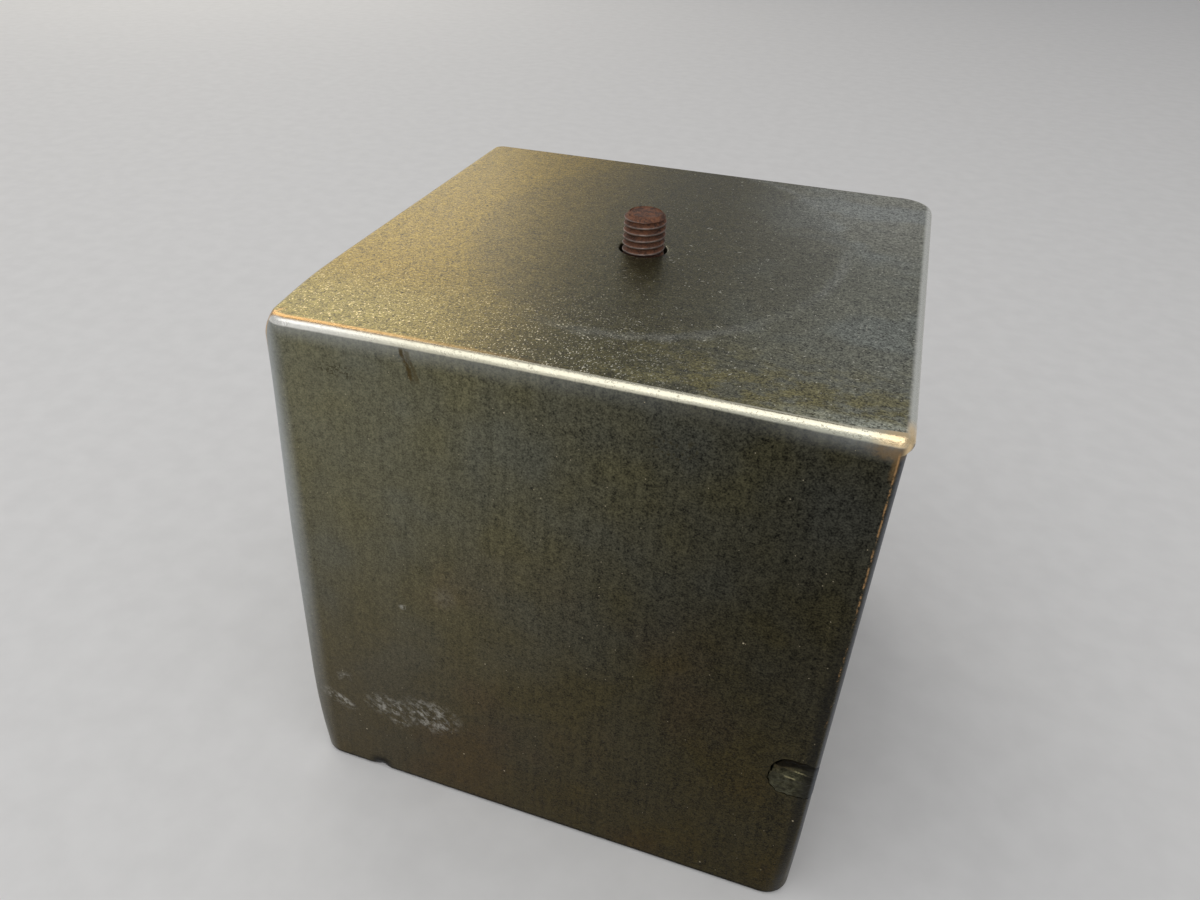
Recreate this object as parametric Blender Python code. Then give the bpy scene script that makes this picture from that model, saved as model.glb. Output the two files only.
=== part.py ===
"""A cube-shaped bronze display plinth: a shell of five welded plates with a fixing stud in its
top, closed from below by a felted hardwood board on four screws.

Metres, +Z up, front face towards -Y. The origin is the middle of the plinth's footprint, on the
surface that it stands on.
"""

import math

import bmesh
import bpy

# Shell: four walls under an oversize top plate
BODY_WIDTH = 0.1009
BODY_DEPTH = 0.102
BODY_HEIGHT = 0.105
WALL_THICKNESS = 0.006
TOP_THICKNESS = 0.0026
TOP_OVERHANG_LEFT = 0.0001
TOP_OVERHANG_RIGHT = 0.0007
TOP_OVERHANG_FRONT = 0.0002
TOP_OVERHANG_BACK = 0.0002

# Dressed edges of the shell
TOP_EDGE_RADIUS = 0.0012
TOP_UNDERSIDE_RADIUS = 0.0005
TOP_CORNER_FRONT_LEFT = 0.0032
TOP_CORNER_FRONT_RIGHT = 0.0026
TOP_CORNER_BACK_RIGHT = 0.0065
TOP_CORNER_BACK_LEFT = 0.0030
WALL_EDGE_FRONT_LEFT = 0.0028
WALL_EDGE_FRONT_RIGHT = 0.0016
WALL_EDGE_BACK_RIGHT = 0.0050
WALL_EDGE_BACK_LEFT = 0.0025
WALL_FOOT_CORNER = 0.0050
WALL_FOOT_CORNER_RISE = 0.0240
WALL_FOOT_RADIUS = 0.0008

# Fillet welds along the inside corners
WELD_LEG = 0.0045
WELD_CROWN = 0.0006

# Plug in a hole that is drilled into the front wall's right edge and breaks out at the corner
PLUG_DIAMETER = 0.0088
PLUG_HEIGHT = 0.0340
PLUG_FROM_EDGE = 0.0036
PLUG_CLEARANCE = 0.0005
PLUG_FLOOR = 0.0015
PLUG_SINK = 0.0004
PLUG_SLOT_WIDTH = 0.0014
PLUG_SLOT_DEPTH = 0.0008

# Fixing stud, screwed through a pad under the top plate and locked by a nut
STUD_DIAMETER = 0.0080
STUD_PROUD = 0.0070
STUD_TAIL = 0.0040
STUD_CHAMFER = 0.0009
STUD_HOLE_CLEARANCE = 0.0005
PAD_WIDTH = 0.034
PAD_THICKNESS = 0.008
PAD_CORNER_RADIUS = 0.002
WASHER_DIAMETER = 0.016
WASHER_THICKNESS = 0.0016
SPRING_WASHER_SECTION = 0.0022
SPRING_WASHER_THICKNESS = 0.0020
SPRING_WASHER_SPLIT = math.radians(14)
NUT_ACROSS_FLATS = 0.013
NUT_THICKNESS = 0.0065
NUT_CHAMFER_ANGLE = math.radians(30)
NUT_FACE_SHARE = 0.95

# Closing board with its felt, blocks and screws
FELT_THICKNESS = 0.0020
FELT_PROUD = 0.0004
FELT_MARGIN = 0.0020
BOARD_THICKNESS = 0.0090
BOARD_CLEARANCE = 0.0005
BOARD_CORNER_RADIUS = 0.0020
BOARD_EDGE_RADIUS = 0.0006
BLOCK_WIDTH = 0.014
BLOCK_HEIGHT = 0.014
BLOCK_EDGE_RADIUS = 0.0005
SCREW_DIAMETER = 0.0040
SCREW_HEAD_DIAMETER = 0.0080
SCREW_LENGTH = 0.0180
SCREW_SINK = 0.0003
SCREW_SLOT_WIDTH = 0.0010
SCREW_SLOT_DEPTH = 0.0010
SCREW_TIP_CHAMFER = 0.0006

# Gap that neighbouring pieces keep, and the break on a sawn edge
SEAM = 0.0003
EDGE_BREAK = 0.0003
LEAST_RADIUS = 0.00005

# Facets
CORNER_STEPS = 6
EDGE_STEPS = 5
ROUND_STEPS = 40
FILLET_STEPS = 6
SMOOTH_ANGLE = math.radians(35)

# Places worked out from the sizes above
BODY_X = (TOP_OVERHANG_LEFT - TOP_OVERHANG_RIGHT) / 2
BODY_Y = (TOP_OVERHANG_FRONT - TOP_OVERHANG_BACK) / 2
WALL_FOOT_Z = FELT_PROUD
TOP_Z = WALL_FOOT_Z + BODY_HEIGHT
TOP_UNDERSIDE_Z = TOP_Z - TOP_THICKNESS
INNER_X = BODY_WIDTH / 2 - WALL_THICKNESS
INNER_Y = BODY_DEPTH / 2 - WALL_THICKNESS
BOARD_Z = FELT_THICKNESS + SEAM
BLOCK_Z = BOARD_Z + BOARD_THICKNESS + SEAM
BLOCK_X = INNER_X - SEAM - BLOCK_WIDTH / 2
BLOCK_Y = INNER_Y - SEAM - BLOCK_WIDTH / 2
SIDES = (("left", -1), ("right", 1))
ENDS = (("front", -1), ("back", 1))


def finish(name, colour, roughness, metallic):
    """A Principled material with one colour all over."""
    material = bpy.data.materials.new(name)
    material.use_nodes = True
    shader = material.node_tree.nodes["Principled BSDF"]
    shader.inputs["Base Color"].default_value = (*colour, 1)
    shader.inputs["Roughness"].default_value = roughness
    shader.inputs["Metallic"].default_value = metallic
    material.diffuse_color = (*colour, 1)
    return material


def rounded_rectangle(width, depth, radii, inset=0.0):
    """A plan outline round the origin, drawn in by inset. Radii go front left, then anticlockwise."""
    outline = []
    corners = ((-1, -1, 2), (1, -1, 3), (1, 1, 0), (-1, 1, 1))
    for (side, end, quarter), radius in zip(corners, radii):
        bend = max(radius - inset, LEAST_RADIUS)
        centre_x = side * (width / 2 - inset - bend)
        centre_y = end * (depth / 2 - inset - bend)
        for step in range(CORNER_STEPS + 1):
            angle = (quarter + step / CORNER_STEPS) * math.pi / 2
            x = centre_x + bend * math.cos(angle)
            y = centre_y + bend * math.sin(angle)
            outline.append((x, y))
    return outline


def circle(radius, steps=ROUND_STEPS, start=0.0):
    """An outline of points round the origin, anticlockwise from the start angle."""
    outline = []
    for step in range(steps):
        angle = start + 2 * math.pi * step / steps
        outline.append((radius * math.cos(angle), radius * math.sin(angle)))
    return outline


def edge_levels(height, foot_radius, top_radius):
    """Heights and insets that run a round along the lower and the upper edge of a plate."""
    quarter = [step / EDGE_STEPS * math.pi / 2 for step in range(EDGE_STEPS + 1)]
    levels = []
    for angle in quarter if foot_radius else quarter[-1:]:
        levels.append((foot_radius * (1 - math.cos(angle)), foot_radius * (1 - math.sin(angle))))
    for angle in quarter if top_radius else quarter[:1]:
        levels.append((height - top_radius * (1 - math.sin(angle)), top_radius * (1 - math.cos(angle))))
    return levels


def loft(name, rows, ring=False):
    """A closed mesh through rows of 3D points, anticlockwise seen from the last row.

    A ring's last row meets its first. Otherwise the first and the last row are capped.
    """
    shape = bmesh.new()
    loops = [[shape.verts.new(point) for point in row] for row in rows]
    pairs = list(zip(loops, loops[1:]))
    if ring:
        pairs.append((loops[-1], loops[0]))
    else:
        shape.faces.new(reversed(loops[0]))
        shape.faces.new(loops[-1])
    for lower, upper in pairs:
        for index, corner in enumerate(lower):
            after = (index + 1) % len(lower)
            shape.faces.new((corner, lower[after], upper[after], upper[index]))
    mesh = bpy.data.meshes.new(name)
    shape.to_mesh(mesh)
    shape.free()
    mesh.shade_smooth()
    mesh.set_sharp_from_angle(angle=SMOOTH_ANGLE)
    return mesh


def at_height(outline, z):
    return [(x, y, z) for x, y in outline]


def plate_mesh(name, width, depth, height, radii, foot_radius, top_radius):
    """A flat plate with a round along its edges, standing on its origin."""
    rows = []
    for z, inset in edge_levels(height, foot_radius, top_radius):
        rows.append(at_height(rounded_rectangle(width, depth, radii, inset), z))
    return loft(name, rows)


def drilled_mesh(name, width, depth, height, radii, foot_radius, top_radius, bore):
    """The same plate with one hole through its middle."""
    rows = []
    for z, inset in edge_levels(height, foot_radius, top_radius):
        rows.append(at_height(rounded_rectangle(width, depth, radii, inset), z))
    hole = circle(bore, len(rows[0]), math.pi)
    rows += [at_height(hole, height), at_height(hole, 0)]
    return loft(name, rows, ring=True)


def turned_mesh(name, profile):
    """A solid of revolution through (radius, height) points that run upwards."""
    return loft(name, [at_height(circle(radius), z) for radius, z in profile])


def add(name, mesh, material, location, rotation=(0.0, 0.0, 0.0)):
    """A named piece of the plinth."""
    piece = bpy.data.objects.new(name, mesh)
    bpy.context.scene.collection.objects.link(piece)
    piece.location = location
    piece.rotation_euler = rotation
    piece.parent = bpy.data.objects["plinth"]
    if not mesh.materials:
        mesh.materials.append(material)
    return piece


def cut(piece, cutter):
    """Takes the cutter's shape out of the piece."""
    cutter.hide_render = True
    cutter.display_type = "WIRE"
    boolean = piece.modifiers.new("cut_" + cutter.name, "BOOLEAN")
    boolean.operation = "DIFFERENCE"
    boolean.solver = "EXACT"
    boolean.object = cutter


def slot_cutter(name, length, width, depth, material, location, rotation=(0.0, 0.0, 0.0)):
    """A screwdriver slot, cut upwards from its origin and open below it."""
    mesh = plate_mesh(name, length, width, 2 * depth, [LEAST_RADIUS] * 4, 0, 0)
    mesh.transform(((1, 0, 0, 0), (0, 1, 0, 0), (0, 0, 1, -depth), (0, 0, 0, 1)))
    return add(name, mesh, material, location, rotation)


def top_plate(material):
    """The oversize top, with a rolled upper edge and the stud's hole in the middle."""
    width = BODY_WIDTH + TOP_OVERHANG_LEFT + TOP_OVERHANG_RIGHT
    depth = BODY_DEPTH + TOP_OVERHANG_FRONT + TOP_OVERHANG_BACK
    radii = (TOP_CORNER_FRONT_LEFT, TOP_CORNER_FRONT_RIGHT, TOP_CORNER_BACK_RIGHT, TOP_CORNER_BACK_LEFT)
    mesh = drilled_mesh(
        "top_plate",
        width,
        depth,
        TOP_THICKNESS,
        radii,
        min(TOP_UNDERSIDE_RADIUS, TOP_THICKNESS / 4),
        min(TOP_EDGE_RADIUS, TOP_THICKNESS / 2),
        STUD_DIAMETER / 2 + STUD_HOLE_CLEARANCE,
    )
    add("top_plate", mesh, material, (0, 0, TOP_UNDERSIDE_Z))


def corner_round(edge_radius, z):
    """An upright edge's round at a height above the wall's foot: it widens towards the foot."""
    widest = WALL_THICKNESS - max(EDGE_BREAK, WALL_FOOT_RADIUS) - LEAST_RADIUS
    edge = min(edge_radius, widest)
    foot = min(WALL_FOOT_CORNER, widest)
    share = max(0.0, 1 - z / WALL_FOOT_CORNER_RISE)
    return edge + (foot - edge) * share**2


def end_wall(end, side_of_y, edge_radii, material):
    """A front or back wall, which covers the side walls' ends and carries the dressed corners."""
    height = TOP_UNDERSIDE_Z - SEAM - WALL_FOOT_Z
    *foot_levels, head_level = edge_levels(height, WALL_FOOT_RADIUS, 0)
    rise = min(WALL_FOOT_CORNER_RISE, height / 2)
    run = rise - WALL_FOOT_RADIUS
    rise_levels = [(WALL_FOOT_RADIUS + run * step / EDGE_STEPS, 0) for step in range(1, EDGE_STEPS + 1)]
    rows = []
    for z, inset in foot_levels + rise_levels + [head_level]:
        outer = [corner_round(radius, z) for radius in edge_radii]
        inner = [EDGE_BREAK] * 2
        radii = outer + inner if side_of_y < 0 else inner + outer
        rows.append(at_height(rounded_rectangle(BODY_WIDTH, WALL_THICKNESS, radii, inset), z))
    y = BODY_Y + side_of_y * (BODY_DEPTH - WALL_THICKNESS) / 2
    return add(end + "_wall", loft(end + "_wall", rows), material, (BODY_X, y, WALL_FOOT_Z))


def side_wall(side, side_of_x, material):
    """A left or right wall, set between the front and the back."""
    height = TOP_UNDERSIDE_Z - SEAM - WALL_FOOT_Z
    depth = 2 * (INNER_Y - SEAM)
    radii = [EDGE_BREAK] * 4
    mesh = plate_mesh(side + "_wall", WALL_THICKNESS, depth, height, radii, WALL_FOOT_RADIUS, 0)
    x = BODY_X + side_of_x * (BODY_WIDTH - WALL_THICKNESS) / 2
    add(side + "_wall", mesh, material, (x, BODY_Y, WALL_FOOT_Z))


def plug_outline():
    """The plug's circle, with its right side dressed off flush with the wall's edge."""
    radius = PLUG_DIAMETER / 2
    half_chord = math.acos(min(1.0, (PLUG_FROM_EDGE - PLUG_CLEARANCE) / radius))
    sweep = 2 * (math.pi - half_chord)
    points = ROUND_STEPS + 1 if half_chord else ROUND_STEPS
    angles = [half_chord + sweep * step / ROUND_STEPS for step in range(points)]
    return [(radius * math.cos(angle), radius * math.sin(angle)) for angle in angles]


def front_plug(wall, material):
    """The slotted plug in its blind hole, sunk a little below the front wall's face."""
    hole_radius = PLUG_DIAMETER / 2 + PLUG_CLEARANCE
    hole_depth = WALL_THICKNESS - PLUG_FLOOR
    x = BODY_X + BODY_WIDTH / 2 - PLUG_FROM_EDGE
    face_y = BODY_Y - BODY_DEPTH / 2
    plug_y = face_y + PLUG_SINK
    z = WALL_FOOT_Z + PLUG_HEIGHT
    facing_back = (-math.pi / 2, 0, 0)
    hole = turned_mesh("plug_hole", [(hole_radius, -hole_depth), (hole_radius, hole_depth)])
    cut(wall, add("plug_hole", hole, material, (x, face_y, z), facing_back))
    outline = plug_outline()
    rows = [at_height(outline, 0), at_height(outline, hole_depth - PLUG_SINK - SEAM)]
    plug = add("front_plug", loft("front_plug", rows), material, (x, plug_y, z), facing_back)
    slot = (2 * PLUG_DIAMETER, PLUG_SLOT_WIDTH, PLUG_SLOT_DEPTH)
    cut(plug, slot_cutter("plug_slot", *slot, material, (x, plug_y, z), facing_back))


def fillet_outline():
    """A fillet weld's section, with its square corner at the origin and a slightly crowned face."""
    outline = [(0, 0)]
    for step in range(FILLET_STEPS + 1):
        along = step / FILLET_STEPS
        crown = WELD_CROWN * math.sin(math.pi * along) / math.sqrt(2)
        outline.append((WELD_LEG * (1 - along) + crown, WELD_LEG * along + crown))
    return outline


def upright_weld(name, side_of_x, side_of_y, material):
    """The weld up one inside corner, from the corner block to the weld under the top."""
    foot = BLOCK_Z + BLOCK_HEIGHT + SEAM
    head = TOP_UNDERSIDE_Z - 2 * SEAM - WELD_LEG - SEAM
    corner_x = BODY_X + side_of_x * (INNER_X - SEAM)
    corner_y = BODY_Y + side_of_y * (INNER_Y - SEAM)
    outline = [(-side_of_x * u, -side_of_y * v) for u, v in fillet_outline()]
    if side_of_x * side_of_y < 0:
        outline.reverse()
    rows = [at_height(outline, 0), at_height(outline, head - foot)]
    add(name, loft(name, rows), material, (corner_x, corner_y, foot))


def top_weld(name, length, turn, location, material):
    """A weld along the inside of one wall, under the top plate."""
    half = length / 2
    section = fillet_outline()
    rows = [[(along, v, -u) for u, v in section] for along in (-half, half)]
    add(name, loft(name, rows), material, location, (0, 0, turn))


def welds(material):
    for side, side_of_x in SIDES:
        for end, side_of_y in ENDS:
            upright_weld(f"weld_{end}_{side}", side_of_x, side_of_y, material)
    z = TOP_UNDERSIDE_Z - 2 * SEAM
    long_run = 2 * (INNER_X - SEAM)
    short_run = 2 * (INNER_Y - 2 * SEAM - WELD_LEG)
    top_weld("weld_top_front", long_run, 0, (BODY_X, BODY_Y - INNER_Y + SEAM, z), material)
    top_weld("weld_top_right", short_run, math.pi / 2, (BODY_X + INNER_X - SEAM, BODY_Y, z), material)
    top_weld("weld_top_back", long_run, math.pi, (BODY_X, BODY_Y + INNER_Y - SEAM, z), material)
    top_weld("weld_top_left", short_run, -math.pi / 2, (BODY_X - INNER_X + SEAM, BODY_Y, z), material)


def stud_pad(z, material):
    """The tapped pad under the top plate."""
    radii = [PAD_CORNER_RADIUS] * 4
    bore = STUD_DIAMETER / 2 + SEAM
    mesh = drilled_mesh("stud_pad", PAD_WIDTH, PAD_WIDTH, PAD_THICKNESS, radii, EDGE_BREAK, 0, bore)
    add("stud_pad", mesh, material, (0, 0, z))


def flat_washer(z, material):
    bore = STUD_DIAMETER / 2 + SEAM
    radius = WASHER_DIAMETER / 2
    profile = [(radius, 0), (radius, WASHER_THICKNESS), (bore, WASHER_THICKNESS), (bore, 0)]
    rows = [at_height(circle(r), height) for r, height in profile]
    add("flat_washer", loft("flat_washer", rows, ring=True), material, (0, 0, z))


def spring_washer(z, material):
    """A split ring, pressed flat by the nut."""
    inner = STUD_DIAMETER / 2 + SEAM
    outer = inner + SPRING_WASHER_SECTION
    thickness = SPRING_WASHER_THICKNESS
    section = [(inner, 0), (inner, thickness), (outer, thickness), (outer, 0)]
    rows = []
    for step in range(ROUND_STEPS + 1):
        angle = SPRING_WASHER_SPLIT / 2 + (2 * math.pi - SPRING_WASHER_SPLIT) * step / ROUND_STEPS
        rows.append([(r * math.cos(angle), r * math.sin(angle), height) for r, height in section])
    add("spring_washer", loft("spring_washer", rows), material, (0, 0, z))


def stud_nut(z, material):
    """A hexagon nut, whose corners are turned off by a cone at both faces."""
    apothem = NUT_ACROSS_FLATS / 2
    face_radius = NUT_FACE_SHARE * apothem
    bore = STUD_DIAMETER / 2 + SEAM
    sector = math.pi / 3
    directions = circle(1.0, 2 * ROUND_STEPS)
    rows = [[], [], [], []]
    for x, y in directions:
        radius = apothem / math.cos((math.atan2(y, x) % sector) - sector / 2)
        drop = (radius - face_radius) * math.tan(NUT_CHAMFER_ANGLE)
        rows[0].append((face_radius * x, face_radius * y, 0))
        rows[1].append((radius * x, radius * y, drop))
        rows[2].append((radius * x, radius * y, NUT_THICKNESS - drop))
        rows[3].append((face_radius * x, face_radius * y, NUT_THICKNESS))
    rows.append([(bore * x, bore * y, NUT_THICKNESS) for x, y in directions])
    rows.append([(bore * x, bore * y, 0) for x, y in directions])
    add("stud_nut", loft("stud_nut", rows, ring=True), material, (0, 0, z))


def fixing_stud(foot, material):
    """The stud, from below the nut to where it stands out of the top."""
    radius = STUD_DIAMETER / 2
    length = TOP_Z + STUD_PROUD - foot
    profile = [
        (radius - STUD_CHAMFER, 0),
        (radius, STUD_CHAMFER),
        (radius, length - STUD_CHAMFER),
        (radius - STUD_CHAMFER, length),
    ]
    add("fixing_stud", turned_mesh("fixing_stud", profile), material, (0, 0, foot))


def stud_set(bronze, steel, rusty_steel):
    """The stud and what holds it, stacked downwards from the top plate."""
    pad_z = TOP_UNDERSIDE_Z - SEAM - PAD_THICKNESS
    washer_z = pad_z - SEAM - WASHER_THICKNESS
    spring_z = washer_z - SEAM - SPRING_WASHER_THICKNESS
    nut_z = spring_z - SEAM - NUT_THICKNESS
    stud_pad(pad_z, bronze)
    flat_washer(washer_z, steel)
    spring_washer(spring_z, steel)
    stud_nut(nut_z, steel)
    fixing_stud(nut_z - STUD_TAIL, rusty_steel)


def screw_profile(grow=0.0):
    """A countersunk screw's radii and heights up from its flat head, grown all round by grow."""
    head = SCREW_HEAD_DIAMETER / 2
    shank = SCREW_DIAMETER / 2
    return [(head + grow, 0), (shank + grow, head - shank), (shank + grow, SCREW_LENGTH)]


def base_screw(name, location, board, material):
    """A slotted screw, the hole for it in the board and its slot."""
    profile = screw_profile()
    tip_radius, tip_z = profile.pop()
    profile += [(tip_radius, tip_z - SCREW_TIP_CHAMFER), (tip_radius - SCREW_TIP_CHAMFER, tip_z)]
    screw = add(name, turned_mesh(name, profile), material, location)
    slot = (2 * SCREW_HEAD_DIAMETER, SCREW_SLOT_WIDTH, SCREW_SLOT_DEPTH)
    turn = (0, 0, math.atan2(location[1], location[0]))
    cut(screw, slot_cutter(name + "_slot", *slot, material, location, turn))
    head, neck, tip = screw_profile(SEAM)
    hole = turned_mesh(name + "_hole", [(head[0], -2 * SCREW_SINK), head, neck, tip])
    cut(board, add(name + "_hole", hole, material, location))


def closing_board(bronze, timber, steel, cloth):
    """The board in the open bottom, its four blocks and screws, and the felt below it."""
    width = 2 * (INNER_X - BOARD_CLEARANCE)
    depth = 2 * (INNER_Y - BOARD_CLEARANCE)
    radii = [BOARD_CORNER_RADIUS] * 4
    edge = BOARD_EDGE_RADIUS
    mesh = plate_mesh("base_board", width, depth, BOARD_THICKNESS, radii, edge, edge)
    board = add("base_board", mesh, timber, (BODY_X, BODY_Y, BOARD_Z))
    felt_size = (width - 2 * FELT_MARGIN, depth - 2 * FELT_MARGIN, FELT_THICKNESS)
    felt = plate_mesh("felt_pad", *felt_size, radii, EDGE_BREAK, EDGE_BREAK)
    add("felt_pad", felt, cloth, (BODY_X, BODY_Y, 0))
    bore = SCREW_DIAMETER / 2 + SEAM
    radii = [BLOCK_EDGE_RADIUS] * 4
    block_size = (BLOCK_WIDTH, BLOCK_WIDTH, BLOCK_HEIGHT)
    block = drilled_mesh("corner_block", *block_size, radii, EDGE_BREAK, EDGE_BREAK, bore)
    for side, side_of_x in SIDES:
        for end, side_of_y in ENDS:
            x = BODY_X + side_of_x * BLOCK_X
            y = BODY_Y + side_of_y * BLOCK_Y
            add(f"corner_block_{end}_{side}", block, bronze, (x, y, BLOCK_Z))
            base_screw(f"base_screw_{end}_{side}", (x, y, BOARD_Z + SCREW_SINK), board, steel)


def main():
    for old in list(bpy.data.objects):
        bpy.data.objects.remove(old)
    plinth = bpy.data.objects.new("plinth", None)
    bpy.context.scene.collection.objects.link(plinth)

    patina = finish("patinated_bronze", (0.078, 0.070, 0.047), 0.36, 0.85)
    plug_patina = finish("dull_bronze_plug", (0.120, 0.118, 0.088), 0.62, 0.60)
    weld_metal = finish("weld_bronze", (0.40, 0.26, 0.11), 0.48, 1.0)
    bare_bronze = finish("bare_bronze", (0.46, 0.31, 0.14), 0.40, 1.0)
    rusty_steel = finish("rusty_steel", (0.105, 0.050, 0.032), 0.80, 0.35)
    zinc_steel = finish("zinc_plated_steel", (0.52, 0.52, 0.50), 0.35, 1.0)
    timber = finish("oiled_beech", (0.42, 0.26, 0.13), 0.55, 0.0)
    cloth = finish("black_felt", (0.022, 0.022, 0.021), 0.95, 0.0)

    top_plate(patina)
    front = end_wall("front", -1, (WALL_EDGE_FRONT_LEFT, WALL_EDGE_FRONT_RIGHT), patina)
    end_wall("back", 1, (WALL_EDGE_BACK_RIGHT, WALL_EDGE_BACK_LEFT), patina)
    for side, side_of_x in SIDES:
        side_wall(side, side_of_x, patina)
    front_plug(front, plug_patina)
    welds(weld_metal)
    stud_set(bare_bronze, zinc_steel, rusty_steel)
    closing_board(bare_bronze, timber, zinc_steel, cloth)


main()
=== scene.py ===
"""Looks of the bronze display plinth: dressed meshes, finishes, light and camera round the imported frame."""

import math

import bpy
from mathutils import Matrix, Vector, noise


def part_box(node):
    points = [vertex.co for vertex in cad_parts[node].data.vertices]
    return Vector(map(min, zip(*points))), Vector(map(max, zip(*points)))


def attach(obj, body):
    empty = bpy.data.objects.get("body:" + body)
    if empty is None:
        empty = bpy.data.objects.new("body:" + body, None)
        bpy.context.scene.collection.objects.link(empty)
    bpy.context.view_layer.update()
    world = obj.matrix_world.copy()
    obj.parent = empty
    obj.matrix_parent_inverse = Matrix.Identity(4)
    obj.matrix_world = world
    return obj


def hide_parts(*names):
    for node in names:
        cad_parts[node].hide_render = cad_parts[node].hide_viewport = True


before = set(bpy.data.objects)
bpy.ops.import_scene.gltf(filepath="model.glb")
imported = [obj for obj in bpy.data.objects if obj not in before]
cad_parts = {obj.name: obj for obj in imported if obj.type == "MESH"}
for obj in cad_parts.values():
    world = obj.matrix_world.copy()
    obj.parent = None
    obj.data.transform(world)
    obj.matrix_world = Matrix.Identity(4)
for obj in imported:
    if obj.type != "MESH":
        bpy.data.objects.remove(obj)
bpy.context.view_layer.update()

MM = 0.001

# Places taken from the frame
TOP_LOW, TOP_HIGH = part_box("top_plate")
FRONT_LOW, FRONT_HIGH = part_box("front_wall")
BACK_LOW, BACK_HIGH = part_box("back_wall")
PLUG_LOW, PLUG_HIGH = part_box("front_plug")
STUD_LOW, STUD_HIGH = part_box("fixing_stud")
FELT_LOW, FELT_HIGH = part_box("felt_pad")
BODY_LEFT = FRONT_LOW.x
BODY_RIGHT = FRONT_HIGH.x
BODY_FRONT = FRONT_LOW.y
BODY_BACK = BACK_HIGH.y
FOOT_Z = FRONT_LOW.z
TOP_Z = TOP_HIGH.z
UNDERSIDE_Z = TOP_LOW.z
THICKNESS = TOP_Z - UNDERSIDE_Z
OVERHANG = TOP_HIGH.x - BODY_RIGHT

# Dressed edges of the top: a tight roll, below which the faces still ease outwards for a way
FRONT_ROLL = 1.05 * MM
FRONT_EASE = (1.0 * MM, 2.6 * MM)
SIDE_ROLL = 0.9 * MM
SIDE_EASE = 2.0 * MM
LIP_ROLL = 1.3 * MM
ROLL_TURN = math.radians(70)
EASE_ROWS = 6
ROLL_ROWS = 10
TOP_CORNERS = (3.6 * MM, 1.9 * MM, 6.5 * MM, 2.6 * MM)
DUBBED_INSET = 1.4 * MM
DUBBED_DROP = 4.6 * MM
DUBBED_REACH = (5 * MM, 20 * MM)
SAG = 0.65 * MM
SAG_REACH = (45 * MM, 30 * MM)
STUD_HOLE = 4.5 * MM
HOLE_ROUND = 0.3 * MM
TOP_RINGS = 26
RIM_SHARES = [0.004, 0.015]

# Dressed edges of the walls: the upright rounds at mid height and under the top, which widen towards the foot
FRONT_ROUNDS = ((1.7 * MM, 3.6 * MM), (1.6 * MM, 1.6 * MM))
BACK_ROUNDS = ((5.0 * MM, 5.0 * MM), (2.6 * MM, 2.6 * MM))
ROUND_CHANGE = (55 * MM, 100 * MM)
FOOT_CORNER = 5.0 * MM
FOOT_CORNER_RISE = 24 * MM
FOOT_ROUND = 0.4 * MM
FOOT_STEPS = 6
HEAD_ROWS = 3 * MM
SQUARE = 0.02 * MM
SEAM = 0.3 * MM
SEAM_SHOWN = 0.01 * MM
CORNER_STEPS = 10
COLUMN_SPACING = 0.9 * MM
WAVE_LENGTH = 24 * MM
WAVE_DEPTH = 0.05 * MM

# Chip in the front wall's bottom edge
CHIP_X = BODY_LEFT + 14.8 * MM
CHIP_REACH = 2.4 * MM
CHIP_DEPTH = 0.8 * MM

# Plug and its hole
PLUG_RADIUS = (PLUG_HIGH.z - PLUG_LOW.z) / 2
PLUG_X = PLUG_LOW.x + PLUG_RADIUS
PLUG_Z = (PLUG_LOW.z + PLUG_HIGH.z) / 2
PLUG_SHIFT = Vector((0.25 * MM, 0, 0.2 * MM))
PLUG_SQUARENESS = 2.7
PLUG_HOLE_EXTRA = 0.32 * MM
PLUG_HOLE_MOUTH = 0.12 * MM
PLUG_RAGGED = (0.35 * MM, 0.45 * MM)
PLUG_FRAY = 0.07 * MM
PLUG_RINGS = 44
PLUG_GAPS = (0.02 * MM, 0.62 * MM)
PLUG_GAP_AT = math.radians(118)
PLUG_SINK = 0.18 * MM
PLUG_LEAN = 0.05
PLUG_SLOT_TILT = math.radians(-7)
PLUG_SLOT_RISE = 1.05 * MM
PLUG_SLOT_HALF = 0.62 * MM
PLUG_SLOT_DEPTH = 0.35 * MM

# Stud
THREAD_PITCH = 1.25 * MM
THREAD_DEPTH = 0.70 * MM
STUD_CHAMFER = 0.9 * MM
STUD_COLUMNS = 60

# Felt
FELT_CORNER = 2 * MM
FELT_FRAY = 0.35 * MM

# Ring of old wax on the top: its middle and its two half widths
WAX_MIDDLE = (0.5, 8.0)
WAX_HALF = (35.8, 45.0)

# Camera fitted to the photograph, which is 1200 by 900 pixels
CAMERA_PLACE = Vector((BODY_LEFT + 0.090099, BODY_FRONT - 0.114886, FOOT_Z + 0.172185))
CAMERA_RIGHT = Vector((0.939294, 0.342346, 0.022938))
CAMERA_UP = Vector((-0.206225, 0.509861, 0.835172))
CAMERA_LENS = 28.5755
CAMERA_SHIFT = (0.04531, -0.00578)

# Half the floor's width
FLOOR_REACH = 3.0


def smooth(low, high, value):
    """0 at low and 1 at high, with an even S between them. High may be the smaller one."""
    share = min(1.0, max(0.0, (value - low) / (high - low)))
    return share * share * (3 - 2 * share)


def between(low, high, share):
    """The value a share of the way from low to high."""
    return low + (high - low) * share


def lumps(point, length):
    """Noise from 0 to 1 whose lumps are about this long."""
    return 0.5 + 0.5 * noise.noise(Vector(point) / length)


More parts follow.
